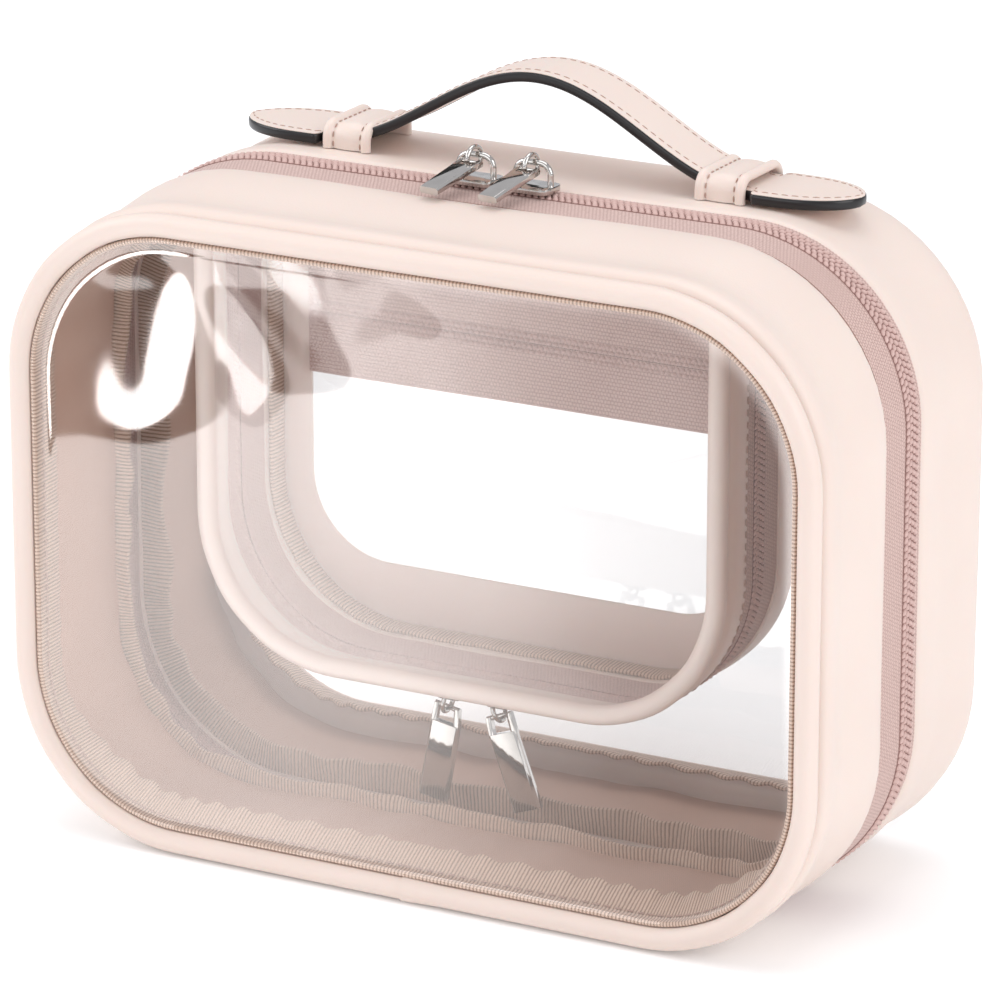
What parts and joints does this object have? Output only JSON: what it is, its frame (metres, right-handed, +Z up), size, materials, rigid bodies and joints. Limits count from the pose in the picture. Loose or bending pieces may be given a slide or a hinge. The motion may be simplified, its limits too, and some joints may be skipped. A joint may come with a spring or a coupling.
{
  "type": "makeup train case",
  "caption": "Soft zipped makeup case with clear front and back windows, a clear zipped pouch hung inside and a flat strap handle that slides through keeper loops.",
  "frame": {"origin": "middle of the base, on the surface the case stands on", "axes": "+X to the viewer's right along the width, -Y out of the front window, +Z up towards the handle"},
  "size_m": [0.24, 0.108, 0.215],
  "materials": {
    "pu_leather": "soft satin coated fabric with a fine smooth grain",
    "clear_film": "clear glossy film, slightly wavy",
    "binding_tape": "ribbed folded tape with a stitch line",
    "lining": "matt fine woven lining",
    "zip_tape": "herringbone woven tape",
    "zip_coil": "satin nylon coil",
    "hardware": "bright plated zinc",
    "thread": "sewing thread, a shade darker than the coated fabric",
    "edge_paint": "glossy painted edge"
  },
  "bodies": {
    "rear_shell": {"hinge_strip_rear": "pu_leather", "keeper_loop_left": "pu_leather", "keeper_loop_right": "pu_leather", "main_zip_coil_rear": "zip_coil", "main_zip_tape_rear": "zip_tape", "pocket_zip_coil": "zip_coil", "pocket_zip_tape_lower": "zip_tape", "pocket_zip_tape_upper": "zip_tape", "pouch_hanging_strip": "pu_leather", "pouch_rear_binding": "binding_tape", "pouch_rear_frame": "pu_leather", "pouch_rear_gusset": "pu_leather", "pouch_rear_window": "clear_film", "pouch_top_panel": "pu_leather", "pouch_zip_coil_rear": "zip_coil", "pouch_zip_tape_rear": "zip_tape", "rear_gusset": "pu_leather", "rear_lining": "lining", "rear_window": "clear_film", "rear_window_binding": "binding_tape", "rear_zip_binding": "binding_tape"},
    "front_lid": {"lid_piping": "pu_leather", "lid_gusset": "pu_leather", "lid_window": "clear_film", "lid_window_binding": "binding_tape", "lid_lining": "lining", "lid_zip_binding": "binding_tape", "main_zip_tape_front": "zip_tape", "main_zip_coil_front": "zip_coil", "hinge_strip_front": "pu_leather"},
    "pouch_flap": {"pouch_piping": "pu_leather", "pouch_front_window": "clear_film", "pouch_front_gusset": "pu_leather", "pouch_zip_tape_front": "zip_tape", "pouch_zip_coil_front": "zip_coil"},
    "handle_grip": {"handle_grip": "pu_leather", "handle_slope_left": "pu_leather", "handle_slope_right": "pu_leather"},
    "handle_end_left": {"handle_tab_left": "pu_leather"},
    "handle_end_right": {"handle_tab_right": "pu_leather"},
    "main_slider_left": {"main_slider_left": "hardware"},
    "main_ring_left": {"main_ring_left": "hardware"},
    "main_pull_left": {"main_pull_left": "hardware"},
    "main_slider_right": {"main_slider_right": "hardware"},
    "main_ring_right": {"main_ring_right": "hardware"},
    "main_pull_right": {"main_pull_right": "hardware"},
    "pouch_slider_left": {"pouch_slider_left": "hardware"},
    "pouch_ring_left": {"pouch_ring_left": "hardware"},
    "pouch_pull_left": {"pouch_pull_left": "hardware"},
    "pouch_slider_right": {"pouch_slider_right": "hardware"},
    "pouch_ring_right": {"pouch_ring_right": "hardware"},
    "pouch_pull_right": {"pouch_pull_right": "hardware"},
    "pocket_slider": {"pocket_slider": "hardware"},
    "pocket_ring": {"pocket_ring": "hardware"},
    "pocket_pull": {"pocket_pull": "hardware"}
  },
  "joints": [
    {"name": "lid_hinge", "type": "hinge", "parent": "rear_shell", "child": "front_lid", "pos_m": [0, 0.0037, 0], "axis": [1, 0, 0], "range_deg": [0, 170]},
    {"name": "pouch_flap_hinge", "type": "hinge", "parent": "rear_shell", "child": "pouch_flap", "pos_m": [0, -0.0248, 0.167], "axis": [1, 0, 0], "range_deg": [-68.1, 0]},
    {"name": "handle_lower", "type": "slide", "parent": "rear_shell", "child": "handle_grip", "axis": [0, 0, -1], "range_m": [0, 0.024], "deforming": ["handle_slope_left", "handle_slope_right"]},
    {"name": "handle_end_left_slide", "type": "slide", "parent": "handle_grip", "child": "handle_end_left", "axis": [-0.3091, 0, 0.951], "range_m": [0, 0.02524]},
    {"name": "handle_end_right_slide", "type": "slide", "parent": "handle_grip", "child": "handle_end_right", "axis": [0.3091, 0, 0.951], "range_m": [0, 0.02524]},
    {"name": "main_slider_left_travel", "type": "slide", "parent": "rear_shell", "child": "main_slider_left", "axis": [-1, 0, 0], "range_m": [0, 0.054]},
    {"name": "main_ring_left_swing", "type": "hinge", "parent": "main_slider_left", "child": "main_ring_left", "pos_m": [-0.008, 0.0037, 0.18975], "axis": [0.9877, -0.1564, 0], "range_deg": [-95, 0]},
    {"name": "main_pull_left_swing", "type": "hinge", "parent": "main_ring_left", "child": "main_pull_left", "pos_m": [-0.00832, 0.00169, 0.18805], "axis": [0.9877, -0.1564, 0], "range_deg": [-50, 0]},
    {"name": "main_slider_right_travel", "type": "slide", "parent": "rear_shell", "child": "main_slider_right", "axis": [1, 0, 0], "range_m": [0, 0.054]},
    {"name": "main_ring_right_swing", "type": "hinge", "parent": "main_slider_right", "child": "main_ring_right", "pos_m": [0.009, 0.0037, 0.18975], "axis": [0.9903, -0.1392, 0], "range_deg": [-95, 0]},
    {"name": "main_pull_right_swing", "type": "hinge", "parent": "main_ring_right", "child": "main_pull_right", "pos_m": [0.00872, 0.00169, 0.18805], "axis": [0.9903, -0.1392, 0], "range_deg": [-50, 0]},
    {"name": "pouch_slider_left_travel", "type": "slide", "parent": "pouch_flap", "child": "pouch_slider_left", "axis": [-1, 0, 0], "range_m": [0, 0.017]},
    {"name": "pouch_ring_left_swing", "type": "hinge", "parent": "pouch_slider_left", "child": "pouch_ring_left", "pos_m": [-0.0135, -0.002, 0.03925], "axis": [0.9848, 0, -0.1736], "range_deg": [-65, 65]},
    {"name": "pouch_pull_left_swing", "type": "hinge", "parent": "pouch_ring_left", "child": "pouch_pull_left", "pos_m": [-0.01396, -0.002, 0.03664], "axis": [0.9848, 0, -0.1736], "range_deg": [-15, 15]},
    {"name": "pouch_slider_right_travel", "type": "slide", "parent": "pouch_flap", "child": "pouch_slider_right", "axis": [1, 0, 0], "range_m": [0, 0.029]},
    {"name": "pouch_ring_right_swing", "type": "hinge", "parent": "pouch_slider_right", "child": "pouch_ring_right", "pos_m": [0.0015, -0.002, 0.03925], "axis": [0.9397, 0, 0.342], "range_deg": [-65, 65]},
    {"name": "pouch_pull_right_swing", "type": "hinge", "parent": "pouch_ring_right", "child": "pouch_pull_right", "pos_m": [0.00241, -0.002, 0.03676], "axis": [0.9397, 0, 0.342], "range_deg": [-15, 15]},
    {"name": "pocket_slider_travel", "type": "slide", "parent": "rear_shell", "child": "pocket_slider", "axis": [-1, 0, 0], "range_m": [0, 0.122]},
    {"name": "pocket_ring_swing", "type": "hinge", "parent": "pocket_slider", "child": "pocket_ring", "pos_m": [0.062, 0.02795, 0.1353], "axis": [1, 0, 0], "range_deg": [-8, 50]},
    {"name": "pocket_pull_swing", "type": "hinge", "parent": "pocket_ring", "child": "pocket_pull", "pos_m": [0.062, 0.02795, 0.13265], "axis": [1, 0, 0], "range_deg": [-5, 10]}
  ],
  "couplings": [
    {"joint": "pouch_flap_hinge", "follows": "lid_hinge", "ratio": -0.4},
    {"joint": "handle_end_left_slide", "follows": "handle_lower", "ratio": 1.0515},
    {"joint": "handle_end_right_slide", "follows": "handle_lower", "ratio": 1.0515}
  ]
}
